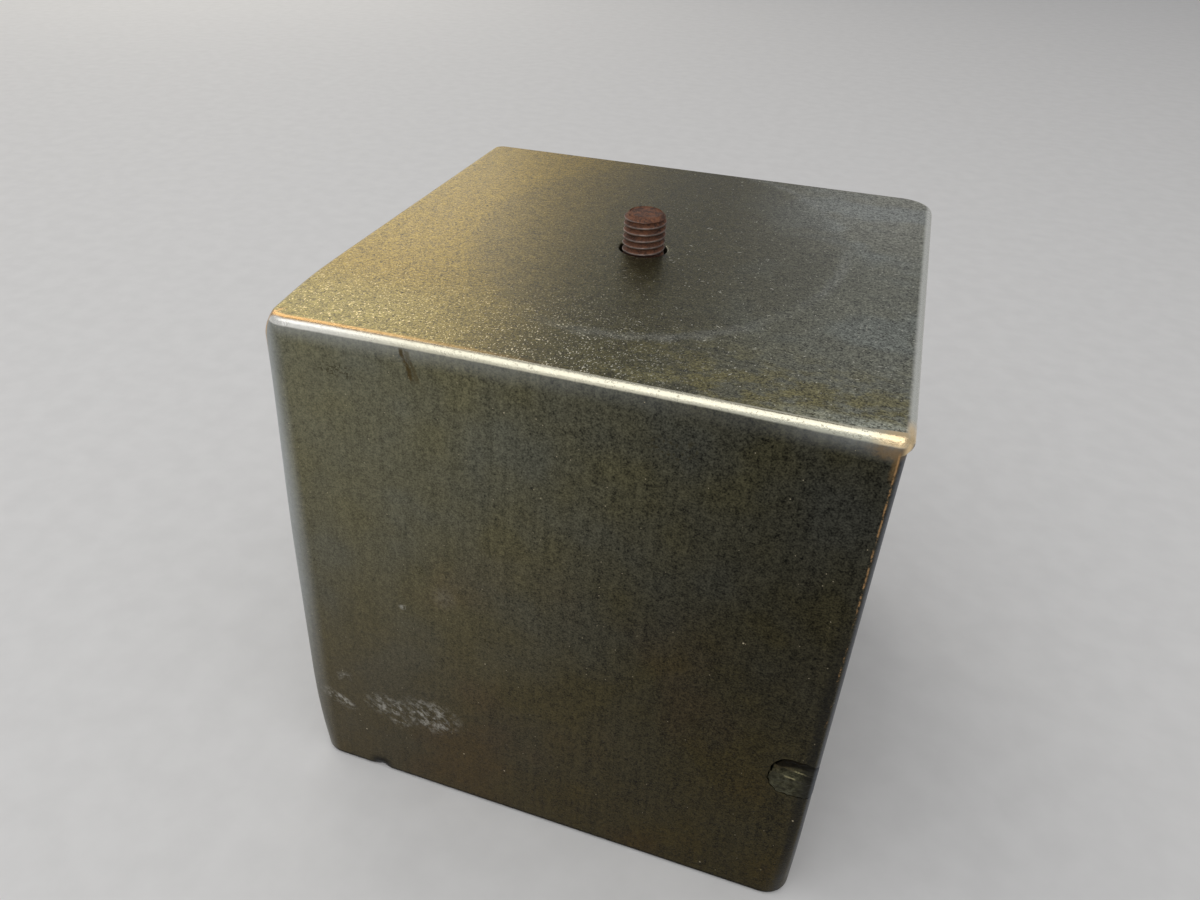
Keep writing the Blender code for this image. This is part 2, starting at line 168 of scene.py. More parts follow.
# Meshes
def loft(name, rows, ring=False):
    """A closed mesh through rows of points. A ring's last row meets its first. Otherwise it has end caps."""
    count = len(rows[0])
    points = [tuple(point) for row in rows for point in row]
    faces = []
    pairs = [(index, index + 1) for index in range(len(rows) - 1)]
    if ring:
        pairs.append((len(rows) - 1, 0))
    else:
        last = (len(rows) - 1) * count
        faces.append(list(range(count - 1, -1, -1)))
        faces.append(list(range(last, last + count)))
    for lower, upper in pairs:
        for column in range(count):
            after = (column + 1) % count
            first, second = lower * count, upper * count
            faces.append((first + column, first + after, second + after, second + column))
    mesh = bpy.data.meshes.new(name)
    mesh.from_pydata(points, [], faces)
    mesh.validate()
    mesh.update()
    return mesh


def shade(mesh, crease=35):
    """Smooth shading with sharp edges where faces meet at more than the crease's degrees."""
    mesh.shade_smooth()
    mesh.set_sharp_from_angle(angle=math.radians(crease))


def piece(name, mesh, node, finish):
    """Puts a dressed mesh in the place of a CAD node."""
    shade(mesh)
    mesh.materials.append(finish)
    made = bpy.data.objects.new(name, mesh)
    bpy.context.scene.collection.objects.link(made)
    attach(made, "root")
    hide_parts(node)
    return made


def carve(made, cutter_mesh):
    """Takes a shape out of a piece for good."""
    cutter = bpy.data.objects.new("cutter", cutter_mesh)
    bpy.context.scene.collection.objects.link(cutter)
    boolean = made.modifiers.new("carve", "BOOLEAN")
    boolean.operation = "DIFFERENCE"
    boolean.solver = "EXACT"
    boolean.object = cutter
    depsgraph = bpy.context.evaluated_depsgraph_get()
    carved = bpy.data.meshes.new_from_object(made.evaluated_get(depsgraph))
    made.modifiers.clear()
    made.data = carved
    shade(carved)
    bpy.data.objects.remove(cutter)


def plan_outline(low, high, radii, spacing, inset=0.0):
    """Points and outward directions round a plate, anticlockwise from the front left corner."""
    outline = []
    corners = ((-1, -1, 2), (1, -1, 3), (1, 1, 0), (-1, 1, 1))
    middle = (low + high) / 2
    half = (high - low) / 2
    arcs = []
    for (side, end, quarter), radius in zip(corners, radii):
        bend = max(radius - inset, SQUARE)
        centre_x = middle.x + side * (half.x - inset - bend)
        centre_y = middle.y + end * (half.y - inset - bend)
        arc = []
        for step in range(CORNER_STEPS + 1):
            angle = (quarter + step / CORNER_STEPS) * math.pi / 2
            out = Vector((math.cos(angle), math.sin(angle), 0))
            arc.append((Vector((centre_x, centre_y, 0)) + bend * out, out))
        arcs.append(arc)
    for index, arc in enumerate(arcs):
        outline += arc
        start, out = arc[-1]
        end = arcs[(index + 1) % 4][0][0]
        run = 2 * (half.x if index % 2 == 0 else half.y)
        steps = max(2, round(run / spacing))
        for step in range(1, steps):
            outline.append((start.lerp(end, step / steps), out))
    return outline


# Shell
def ease_inset(roll, ease, drop):
    """How far a face is still drawn in at a drop below the top."""
    start = roll * (1 - math.cos(ROLL_TURN))
    share = max(0.0, 1 - (drop - start) / ease)
    return ease * share**3 / (3 * math.tan(ROLL_TURN))


def flush_edge(roll, ease):
    """Insets and drops up an edge that is flush with its wall, from the seam to the top."""
    start = roll * (1 - math.cos(ROLL_TURN))
    eased = ease_inset(roll, ease, start)
    levels = []
    for row in range(EASE_ROWS):
        drop = between(THICKNESS, start, row / EASE_ROWS)
        levels.append((ease_inset(roll, ease, drop), drop))
    for row in range(ROLL_ROWS + 1):
        turn = ROLL_TURN * (1 - row / ROLL_ROWS)
        inset = eased + roll * (math.sin(ROLL_TURN) - math.sin(turn))
        levels.append((inset, roll * (1 - math.cos(turn))))
    return levels


def lip_edge():
    """Insets and drops up the lip that stands past the right wall, round below and above."""
    levels = []
    for row in range(EASE_ROWS):
        turn = row / EASE_ROWS * math.pi / 2
        drop = LIP_ROLL + (THICKNESS - LIP_ROLL) * math.cos(turn)
        levels.append((OVERHANG * (1 - math.sin(turn)), drop))
    for row in range(ROLL_ROWS + 1):
        turn = (1 - row / ROLL_ROWS) * math.pi / 2
        levels.append((LIP_ROLL * (1 - math.sin(turn)), LIP_ROLL * (1 - math.cos(turn))))
    return levels


def dubbed(place):
    """1 at the front left corner, which is rubbed down, and 0 away from it."""
    away = math.hypot((place.x - BODY_LEFT) / DUBBED_REACH[0], (place.y - BODY_FRONT) / DUBBED_REACH[1])
    return max(0.0, 1 - away) ** 1.5


def dubbed_inset(place, drop):
    """How far the rubbed corner is drawn in at a drop below the top."""
    return DUBBED_INSET * dubbed(place) * smooth(DUBBED_DROP, 0, drop)


def sagged(place):
    """How far the top falls away towards its front left corner."""
    across = max(0.0, 1 - (place.x - BODY_LEFT) / SAG_REACH[0])
    along = max(0.0, 1 - (place.y - BODY_FRONT) / SAG_REACH[1])
    return SAG * across**2 * along**2


def flush_sides(place, out):
    """Front, left and back edge: how squarely each is faced here, its roll and its easing."""
    to_end = (2 * place.x - BODY_LEFT - BODY_RIGHT) / (BODY_RIGHT - BODY_LEFT)
    front = (max(0.0, -out.y) ** 2, FRONT_ROLL, between(*FRONT_EASE, min(1.0, to_end**4)))
    left = (max(0.0, -out.x) ** 2, SIDE_ROLL, SIDE_EASE)
    back = (max(0.0, out.y) ** 2, SIDE_ROLL, SIDE_EASE)
    return {"front": front, "left": left, "back": back}


def plate_edge(point, out):
    """The places up the plate's edge at one point of its outline."""
    edges = [(share, flush_edge(roll, ease)) for share, roll, ease in flush_sides(point, out).values()]
    edges.append((max(0.0, out.x) ** 2, lip_edge()))
    places = []
    for row in range(EASE_ROWS + ROLL_ROWS + 1):
        inset = sum(share * edge[row][0] for share, edge in edges)
        drop = sum(share * edge[row][1] for share, edge in edges)
        place = point - out * (inset + dubbed_inset(point, drop))
        place.z = TOP_Z - drop - sagged(place) * (1 - drop / THICKNESS)
        places.append(place)
    return places


def dressed_top_plate(finish):
    """The top plate with its rolled edge, a gently waved face and the stud's hole."""
    low = Vector((BODY_LEFT, BODY_FRONT, UNDERSIDE_Z))
    high = Vector((TOP_HIGH.x, BODY_BACK, TOP_Z))
    outline = plan_outline(low, high, TOP_CORNERS, COLUMN_SPACING)
    rows = [list(row) for row in zip(*[plate_edge(point, out) for point, out in outline])]
    rim = [Vector((point.x, point.y, 0)) for point in rows[-1]]
    hole = [point.normalized() * (STUD_HOLE + HOLE_ROUND) for point in rim]
    for share in RIM_SHARES + [step / TOP_RINGS for step in range(1, TOP_RINGS + 1)]:
        ring = []
        for outer, inner in zip(rim, hole):
            place = outer.lerp(inner, share)
            fade = smooth(0, 0.12, share) * smooth(1, 0.9, share)
            place.z = TOP_Z - sagged(place) - fade * WAVE_DEPTH * lumps(place, WAVE_LENGTH)
            ring.append(place)
        rows.append(ring)
    for step in range(1, 5):
        turn = step / 4 * math.pi / 2
        radius = STUD_HOLE + HOLE_ROUND * (1 - math.sin(turn))
        z = TOP_Z - HOLE_ROUND * (1 - math.cos(turn))
        rows.append([Vector((*(point.normalized() * radius).xy, z)) for point in rim])
    rows.append([Vector((*(point.normalized() * STUD_HOLE).xy, UNDERSIDE_Z)) for point in rim])
    mesh = loft("dressed_top_plate", rows, ring=True)
    return piece("dressed_top_plate", mesh, "top_plate", finish)


def corner_round(rounds, height):
    """An upright edge's round at a height above the foot."""
    middle, head = rounds
    edge = between(middle, head, smooth(*ROUND_CHANGE, height))
    share = max(0.0, 1 - height / FOOT_CORNER_RISE)
    return between(edge, FOOT_CORNER, share**2)


def wall_levels(height):
    """Heights and insets up a wall: the foot's round, then rows that are close at the foot and the head."""
    levels = []
    for step in range(FOOT_STEPS + 1):
        angle = step / FOOT_STEPS * math.pi / 2
        levels.append((FOOT_ROUND * (1 - math.cos(angle)), FOOT_ROUND * (1 - math.sin(angle))))
    head = height - HEAD_ROWS
    steps = ((4 * MM, 0.4 * MM), (FOOT_CORNER_RISE, 1 * MM), (head, 2.6 * MM), (height, 0.25 * MM))
    z = FOOT_ROUND
    for stop, step in steps:
        count = max(1, round((stop - z) / step))
        levels += [(between(z, stop, row / count), 0.0) for row in range(1, count + 1)]
        z = stop
    return levels


def dressed_wall(name, node, low, high, rounds, shown, finish):
    """A wall that runs on from the plate's edge above it. Rounds has an upright edge's, or None if square."""
    rows = []
    for height, inset in wall_levels(high.z - low.z):
        z = low.z + height
        radii = [corner_round(edge, height) if edge else SQUARE for edge in rounds]
        row = []
        for point, out in plan_outline(low, high, radii, COLUMN_SPACING, inset):
            place = Vector((point.x, point.y, z))
            sides = flush_sides(place, out)
            for share, roll, ease in [sides[side] for side in shown]:
                place -= out * share * ease_inset(roll, ease, TOP_Z - z)
            if "left" in shown:
                place -= out * dubbed_inset(Vector((point.x, point.y, 0)), TOP_Z - z)
            fade = smooth(0, 6 * MM, height) * smooth(0, 9 * MM, high.z - z)
            place -= out * fade * WAVE_DEPTH * lumps(place, WAVE_LENGTH)
            if "front" in shown and out.y < 0:
                chip = smooth(CHIP_REACH, 0, math.hypot(place.x - CHIP_X, height * 1.5))
                place.y += CHIP_DEPTH * chip * (0.4 + 0.8 * lumps(place, 0.5 * MM))
            row.append(place)
        rows.append(row)
    return piece(name, loft(name, rows), node, finish)


def dressed_walls(finish):
    """The four walls, closed up to each other and to the plate. Returns the front one."""
    head = UNDERSIDE_Z - SEAM_SHOWN
    bare = (None, None)
    high = Vector((*FRONT_HIGH.xy, head))
    rounds = FRONT_ROUNDS + bare
    shown = ("front", "left")
    front = dressed_wall("dressed_front_wall", "front_wall", FRONT_LOW, high, rounds, shown, finish)
    high = Vector((*BACK_HIGH.xy, head))
    rounds = bare + BACK_ROUNDS
    dressed_wall("dressed_back_wall", "back_wall", BACK_LOW, high, rounds, ("left", "back"), finish)
    for side, shown in (("left", ("left",)), ("right", ())):
        low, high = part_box(side + "_wall")
        low.y = FRONT_HIGH.y + SEAM_SHOWN
        high.y = BACK_LOW.y - SEAM_SHOWN
        high.z = head
        dressed_wall(f"dressed_{side}_wall", side + "_wall", low, high, bare + bare, shown, finish)
    return front


# Plug
def ragged_round(steps, gapped):
    """Directions in the front's plane with the hole's wavering reach in each, or the plug's in its gap."""
    outline = []
    power = PLUG_SQUARENESS
    for step in range(steps):
        angle = 2 * math.pi * step / steps
        way = Vector((math.cos(angle), 0, math.sin(angle)))
        reach = PLUG_RADIUS + PLUG_HOLE_EXTRA
        reach *= 0.97 / (abs(way.x) ** power + abs(way.z) ** power) ** (1 / power)
        reach += PLUG_RAGGED[0] * (2 * lumps(1.3 * way + Vector((0, 4.7, 0)), 1.0) - 1)
        reach += PLUG_RAGGED[1] * (2 * lumps(4.5 * way + Vector((0, 1.9, 0)), 1.0) - 1)
        if gapped:
            facing = max(0.0, math.cos(angle - PLUG_GAP_AT))
            reach -= between(*PLUG_GAPS, facing**1.5)
            reach -= PLUG_FRAY * lumps(9 * way, 1.0)
        outline.append((way, reach))
    return outline


def plug_hole(wall):
    """Cuts the plug's ragged hole, which breaks out at the wall's right edge."""
    middle = Vector((PLUG_X, 0, PLUG_Z)) + PLUG_SHIFT
    rows = []
    for y in (PLUG_HIGH.y + SEAM, BODY_FRONT + 0.6 * MM, BODY_FRONT - 1 * MM):
        spread = PLUG_HOLE_MOUTH * smooth(BODY_FRONT + 0.7 * MM, BODY_FRONT - 0.2 * MM, y)
        start = middle + Vector((0, y, 0))
        rows.append([start + way * (reach + spread) for way, reach in ragged_round(72, False)])
    carve(wall, loft("plug_hole", rows))


def edge_fall(x):
    """How far the front falls back at this x, round its right edge."""
    round_radius = FRONT_ROUNDS[1][0]
    past = min(max(0.0, x - BODY_RIGHT + round_radius), round_radius)
    return round_radius - math.sqrt(round_radius**2 - past**2)


def slotted_plug(finish):
    """A rough plug with a worn screwdriver slot, dressed off with the wall's right edge."""
    outline = []
    middle = Vector((PLUG_X, 0, PLUG_Z)) + PLUG_SHIFT
    for way, reach in ragged_round(160, True):
        limit = (BODY_RIGHT - 0.03 * MM - middle.x) / max(way.x, 0.001)
        outline.append(way * min(reach, limit))
    along = Vector((math.cos(PLUG_SLOT_TILT), 0, math.sin(PLUG_SLOT_TILT)))
    across = Vector((-along.z, 0, along.x))
    rows = [[middle + spoke + Vector((0, PLUG_HIGH.y, 0)) for spoke in outline]]
    for ring in range(PLUG_RINGS):
        share = 1 - ring / PLUG_RINGS
        row = []
        for spoke in outline:
            place = middle + spoke * share
            off = abs((spoke * share + PLUG_SHIFT).dot(across) - PLUG_SLOT_RISE)
            slot = smooth(PLUG_SLOT_HALF * 1.25, PLUG_SLOT_HALF * 0.8, off)
            burr = smooth(0.35 * MM, 0, abs(off - PLUG_SLOT_HALF * 1.5))
            rim = smooth(0.93, 1.0, share) ** 2 * 0.12 * MM
            rough = 0.26 * lumps(place, 1.6 * MM) + 0.16 * lumps(place, 0.6 * MM) - 0.21
            flat = smooth(0.2 * MM, 1.2 * MM, BODY_RIGHT - place.x)
            sunk = PLUG_SINK + PLUG_LEAN * (place.z - PLUG_Z) + rim + rough * MM
            sunk += PLUG_SLOT_DEPTH * slot - 0.10 * MM * burr
            sunk = between(0.05 * MM, max(sunk, 0.04 * MM), flat)
            place.y = BODY_FRONT + edge_fall(place.x) + sunk
            row.append(place)
        rows.append(row)
    mesh = loft("slotted_plug", rows)
    return piece("slotted_plug", mesh, "front_plug", finish)


# Stud
def threaded_stud(finish):
    """The stud with its thread, chamfered ends and a rust-eaten face."""
    radius = (STUD_HIGH.x - STUD_LOW.x) / 2
    length = STUD_HIGH.z - STUD_LOW.z
    levels = round(length / THREAD_PITCH * 12)
    rows = []

    def face(z, shares, dip):
        for share in shares:
            row = []
            for column in range(STUD_COLUMNS):
                angle = 2 * math.pi * column / STUD_COLUMNS
                reach = (radius - STUD_CHAMFER) * share
                place = Vector((reach * math.cos(angle), reach * math.sin(angle), z))
                place.z += dip * MM * (0.25 * lumps(place, 1.4 * MM) + 0.12 * lumps(place, 0.5 * MM))
                row.append(place)
            rows.append(row)

    face(STUD_LOW.z, [0.02, 0.2, 0.4, 0.6, 0.8, 0.97], 0.3)
    for level in range(levels + 1):
        height = length * level / levels
        row = []
        for column in range(STUD_COLUMNS):
            turn = column / STUD_COLUMNS
            phase = (height / THREAD_PITCH - turn) % 1
            groove = smooth(0.06, 0.42, phase) * smooth(0.94, 0.58, phase)
            reach = radius - THREAD_DEPTH * groove
            end = min(height, length - height)
            reach = min(reach, radius - STUD_CHAMFER + end)
            angle = 2 * math.pi * turn
            place = Vector((math.cos(angle), math.sin(angle), 0)) * reach
            place.z = STUD_LOW.z + height
            place -= 0.07 * MM * lumps(place, 0.7 * MM) * Vector((math.cos(angle), math.sin(angle), 0))
            row.append(place)
        rows.append(row)
    face(STUD_HIGH.z, [0.97, 0.85, 0.7, 0.55, 0.4, 0.25, 0.1, 0.02], -1)
    mesh = loft("threaded_stud", rows)
    return piece("threaded_stud", mesh, "fixing_stud", finish)


# Felt
def felt_sheet(finish):
    """The felt below the board, with soft uneven edges and a slightly lumpy face."""
    radii = (FELT_CORNER,) * 4
    thickness = FELT_HIGH.z - FELT_LOW.z
    middle = (FELT_LOW + FELT_HIGH) / 2
    outline = plan_outline(FELT_LOW, FELT_HIGH, radii, 1.5 * MM)
    shares = [0.02] + [step / 24 for step in range(2, 24)]
    turns = [math.pi * step / 6 for step in range(7)]
    edge = [(0.988 + 0.011 * math.sin(turn), (1 - math.cos(turn)) / 2) for turn in turns]
    levels = [(share, 0.0) for share in shares] + edge + [(share, 1.0) for share in reversed(shares)]
    rows = []
    for share, rise in levels:
        row = []
        for point, out in outline:
            place = Vector((middle.x, middle.y, 0)).lerp(Vector((point.x, point.y, 0)), share)
            ragged = smooth(0.95, 1, share) * FELT_FRAY
            place -= out * ragged * lumps(place, 2.2 * MM)
            press = 0.10 * MM * lumps(place, 3 * MM) + 0.05 * MM * lumps(place, 1.1 * MM)
            place.z = FELT_LOW.z + thickness * rise + press * (1 - 2 * rise)
            row.append(place)
        rows.append(row)
    made = piece("felt_sheet", loft("felt_sheet", rows), "felt_pad", finish)
    return made


# Finishes
class Signal:
    """A socket in a finish's node tree. Sums on it add Math nodes, and add() makes any other node."""

    def __init__(self, tree, socket=None):
        self.tree = tree
        self.socket = socket

    def add(self, kind, settings=None, sockets=None, output=0):
        """A new node: its settings first, then the values or links of its sockets."""
        node = self.tree.nodes.new("ShaderNode" + kind)
        for name, value in (settings or {}).items():
            setattr(node, name, value)
        for name, value in (sockets or {}).items():
            if isinstance(value, Signal):
                self.tree.links.new(value.socket, node.inputs[name])
            else:
                node.inputs[name].default_value = value
        return Signal(self.tree, node.outputs[output])

    def math(self, operation, *values):
        return self.add("Math", {"operation": operation}, dict(enumerate(values)))

    def __add__(self, other):
        return self.math("ADD", self, other)

    def __radd__(self, other):
        return self.math("ADD", other, self)

    def __sub__(self, other):
        return self.math("SUBTRACT", self, other)

    def __rsub__(self, other):
        return self.math("SUBTRACT", other, self)

    def __mul__(self, other):
        return self.math("MULTIPLY", self, other)

    def __rmul__(self, other):
        return self.math("MULTIPLY", other, self)

    def __truediv__(self, other):
        return self.math("DIVIDE", self, other)

    def __rtruediv__(self, other):
        return self.math("DIVIDE", other, self)

    def least(self, other):
        return self.math("MINIMUM", self, other)

    def most(self, other):
        return self.math("MAXIMUM", self, other)

    def size(self):
        return self.math("ABSOLUTE", self)

    def ramp(self, low, high):
        """0 at low and 1 at high, eased at both ends. High may be the smaller one."""
        sockets = {0: self, 1: low, 2: high, 3: 0.0, 4: 1.0}
        return self.add("MapRange", {"interpolation_type": "SMOOTHSTEP"}, sockets)

    def noise(self, scale, detail=3.0, roughness=0.55, distortion=0.0):
        sockets = {"Vector": self, "Scale": scale, "Detail": detail}
        sockets.update({"Roughness": roughness, "Distortion": distortion})
        return self.add("TexNoise", None, sockets)

    def specks(self, scale, size, share):
        """Scattered specks in a share of the cells, each of this size within its cell."""
        distance = self.add("TexVoronoi", None, {"Vector": self, "Scale": scale})
        chance = Signal(self.tree, distance.socket.node.outputs["Color"]).parts()[0]
        return distance.ramp(size, 0.5 * size) * chance.ramp(share, 0.97 * share)

    def stretched(self, x, y, z):
        return self.add("VectorMath", {"operation": "MULTIPLY"}, {0: self, 1: (x, y, z)})

    def moved(self, x, y, z):
        return self.add("VectorMath", {"operation": "ADD"}, {0: self, 1: (x, y, z)})

    def scaled(self, amount):
        """A colour or vector times a number."""
        return self.add("VectorMath", {"operation": "SCALE"}, {0: self, "Scale": amount})

    def distance(self, x, y, z):
        return self.add("VectorMath", {"operation": "DISTANCE"}, {0: self, 1: (x, y, z)}, "Value")

    def vector(self, x, y, z):
        return self.add("CombineXYZ", None, {0: x, 1: y, 2: z})

    def parts(self):
        """The three numbers of a vector."""
        first = self.add("SeparateXYZ", None, {0: self})
        node = first.socket.node
        return [Signal(self.tree, socket) for socket in node.outputs]

    def over(self, under, colour):
        """Lays a colour over another where this mask is 1."""
        sockets = {0: self, 6: under, 7: colour}
        return self.add("Mix", {"data_type": "RGBA"}, sockets, 2)


def rgb(red, green, blue):
    """A linear colour."""
    return (red, green, blue, 1.0)


def new_finish(name, **fixed):
    """A material with its Principled shader, and the place on the plinth in millimetres."""
    finish = bpy.data.materials.new(name)
    finish.use_nodes = True
    tree = finish.node_tree
    shader = tree.nodes["Principled BSDF"]
    for socket, value in fixed.items():
        shader.inputs[socket.replace("_", " ")].default_value = value
    start = Signal(tree)
    coordinates = start.add("TexCoord", None, None, "Object")
    place = coordinates.stretched(1000, 1000, 1000)
    return finish, shader, place


def connect(shader, **sockets):
    """Links signals to the shader's sockets, whose names have underscores for spaces."""
    for name, signal in sockets.items():
        signal.tree.links.new(signal.socket, shader.inputs[name.replace("_", " ")])


def bump(height, strength, distance):
    """A Bump node over a height, as a normal."""
    sockets = {"Strength": strength, "Distance": distance, "Height": height}
    return height.add("Bump", None, sockets)


def waxed_patina():
    """Dark olive-brown patina under wax, gilded on the top's left and worn to bare bronze along the edges,
    with painted light and shade: reflections on the top, highlights on the edges, and shadows at the right
    edge and the foot.
    """
    fixed = {"Coat_Roughness": 0.22, "Coat_IOR": 1.45, "Specular_IOR_Level": 0.25}
    finish, shader, place = new_finish("waxed_patina", **fixed)
    x, y, z = place.parts()
    left = x - BODY_LEFT / MM
    right = BODY_RIGHT / MM - x
    front = y - BODY_FRONT / MM
    back = BODY_BACK / MM - y
    below = TOP_Z / MM - z
    above = z - FOOT_Z / MM
    lip = right + OVERHANG / MM * below.ramp(2.9, 2.4)
    sag_across = (1 - left / (SAG_REACH[0] / MM)).most(0.0)
    sag_along = (1 - front / (SAG_REACH[1] / MM)).most(0.0)
    fall = below - SAG / MM * sag_across * sag_across * sag_along * sag_along
    corner = place.vector(left / (DUBBED_REACH[0] / MM), front / (DUBBED_REACH[1] / MM), 0.0)
    corner = corner.distance(0, 0, 0)
    edge_front = front - 0.8 * DUBBED_INSET / MM * (1 - corner).most(0.0)
    on_top = fall.ramp(1.0, 0.2) * edge_front.ramp(0.4, 1.4)
    upright = 1 - on_top

    clouds = place.noise(0.035, 3, 0.5)
    blooms = place.moved(40, 0, 20).noise(0.06, 2, 0.5)
    mottle = place.noise(0.35, 4, 0.65)
    tooth = place.noise(1.5, 3, 0.6)
    grain = place.noise(3.4, 2, 0.6)
    streaks = place.stretched(0.9, 0.9, 0.06).noise(1.0, 3, 0.6)

    def patch(across, up, half_width, half_height, tilt=0):
        """A soft oval on the front, placed from its left edge and its foot, and tilted by some degrees."""
        turn = math.radians(tilt)
        along = (left - across) * math.cos(turn) + (above - up) * math.sin(turn)
        over = (above - up) * math.cos(turn) - (left - across) * math.sin(turn)
        spread = place.vector(along / half_width, 0.0, over / half_height)
        return spread.distance(0, 0, 0).ramp(1.0, 0.2) * front.ramp(2.0, 1.0)

    # Upright faces: olive above and at the left, brown below, near black at the right; partly the patina's
    # own colours, partly painted light and shade, lighter at the upper left and darker towards the lower
    # right
    across = left.ramp(-5, 100)
    down = below.ramp(0, 105)
    high = across.over(rgb(0.160, 0.154, 0.096), rgb(0.038, 0.037, 0.026))
    low = across.over(rgb(0.072, 0.056, 0.026), rgb(0.046, 0.036, 0.013))
    colour = down.over(high, low)
    colour = (0.55 * blooms.ramp(0.48, 0.66)).over(colour, colour.stretched(0.95, 1.02, 1.28))
    brown = 0.55 * clouds.ramp(0.50, 0.34) * down.ramp(0.2, 0.6)
    colour = brown.over(colour, colour.stretched(1.14, 0.94, 0.88))
    # Painted shade: a broad soft oval darkens the right half of the front
    colour = (0.28 * patch(80, 58, 36, 38)).over(colour, colour.scaled(0.5))
    olive = blooms.ramp(0.50, 0.36) * (0.4 + 0.6 * across)
    colour = (0.55 * olive).over(colour, colour.stretched(1.10, 1.02, 0.66))

    # Top: gilded at the left, partly worn patina and partly a painted reflection of the light from the back
    # left, with a painted highlight at the front left; dark in the middle; grey-green with olive stains at
    # the right, where the grey-green and the paler grey at the back right are a painted reflection
    top = left.ramp(12, 54).over(rgb(0.320, 0.228, 0.052), rgb(0.088, 0.080, 0.034))
    # Painted highlight at the front left of the top
    top = (front.ramp(26, 6) * left.ramp(46, 14)).over(top, rgb(0.330, 0.270, 0.095))
    # Painted reflection: grey-green towards the right
    top = left.ramp(56, 95).over(top, rgb(0.220, 0.224, 0.176))
    stain_field = place.stretched(0.17, 0.26, 0.26).noise(1.0, 4, 0.65)
    stains = stain_field.ramp(0.42, 0.60) * front.ramp(24, 4) * left.ramp(44, 76)
    top = (0.8 * stains).over(top, rgb(0.228, 0.200, 0.076))
    dark = 0.6 * stain_field.ramp(0.44, 0.32) * front.ramp(40, 4) * left.ramp(44, 70)
    top = dark.over(top, rgb(0.066, 0.061, 0.034))
    pale = front.ramp(5, 2.5) * right.ramp(24, 4)
    top = (0.85 * pale * tooth.ramp(0.25, 0.48)).over(top, rgb(0.42, 0.44, 0.37))
    # Painted reflection: paler grey at the back right
    top = (0.6 * front.ramp(50, 90) * left.ramp(60, 90)).over(top, rgb(0.37, 0.37, 0.315))
    top = (0.5 * blooms.ramp(0.48, 0.64) * left.ramp(50, 75)).over(top, top.stretched(1.12, 1.22, 1.45))
    oval = place.moved(-WAX_MIDDLE[0], -WAX_MIDDLE[1], -TOP_Z / MM)
    oval = oval.stretched(1 / WAX_HALF[0], 1 / WAX_HALF[1], 0).distance(0, 0, 0)
    top = (0.25 * oval.ramp(1.0, 0.9)).over(top, rgb(0.085, 0.076, 0.048))
    ring = (oval - 1.0 - 0.10 * (mottle - 0.5)).size().ramp(0.05, 0.0)
    top = (0.32 * ring * clouds.ramp(0.36, 0.56) * left.ramp(35, 60)).over(top, rgb(0.32, 0.33, 0.31))
    colour = on_top.over(colour, top)

    # Light and dark in the patina, strongest at the right and on the top
    depth = 0.8 + 0.9 * across * upright + (0.6 + 0.25 * across) * on_top
    tone = 2.0 * (grain - 0.5) + 1.25 * (tooth - 0.5) + 0.5 * (mottle - 0.5) + 0.65 * (streaks - 0.5)
    colour = colour.scaled((1.0 + depth * tone).most(0.12))
    pits = place.moved(3, 5, 7).noise(2.0, 3, 0.6).ramp(0.60, 0.68)
    colour = ((0.30 + 0.50 * on_top) * pits).over(colour, rgb(0.018, 0.015, 0.008))
    rough_spot = patch(14.5, 97.3, 6, 2.2) + patch(27, 60, 3, 3) + patch(70, 96, 6, 3)
    rough_spot = rough_spot + patch(39.5, 47, 3, 3)
    colour = (rough_spot * tooth.ramp(0.53, 0.64)).least(0.75).over(colour, rgb(0.030, 0.024, 0.008))

    # Haze under the rolled edge and along the left edge, partly wax haze and partly a painted reflection of
    # light; a painted shadow beside the right edge and a painted sheen on it
    haze_and_reflection = 0.12 + 0.42 * left.ramp(75, 0) + 0.35 * right.ramp(22, 6)
    haze_and_reflection = haze_and_reflection * below.ramp(4.6, 0.9) * front.ramp(1.2, 0.3)
    haze_and_reflection = haze_and_reflection.most(left.ramp(5.0, 0.3) * front.ramp(3.2, 1.0) * (0.32 + 0.73 * above.ramp(8, 75)))
    haze_and_reflection = haze_and_reflection * (0.50 + 0.4 * streaks + 0.4 * tooth) * upright
    colour = haze_and_reflection.least(1.0).over(colour, rgb(0.40, 0.42, 0.42))
    shadow = right.ramp(3.4, 1.6) * right.ramp(0.6, 1.2) * below.ramp(25, 55) * front.ramp(2.0, 1.0)
    colour = (0.6 * shadow).over(colour, rgb(0.012, 0.012, 0.012))
    sheen = right.ramp(0.9, 0.2) * front.ramp(3.2, 1.2) * below.ramp(2.2, 3.2) * (0.4 + 0.5 * streaks)
    colour = (0.7 * sheen).over(colour, rgb(0.22, 0.24, 0.28))

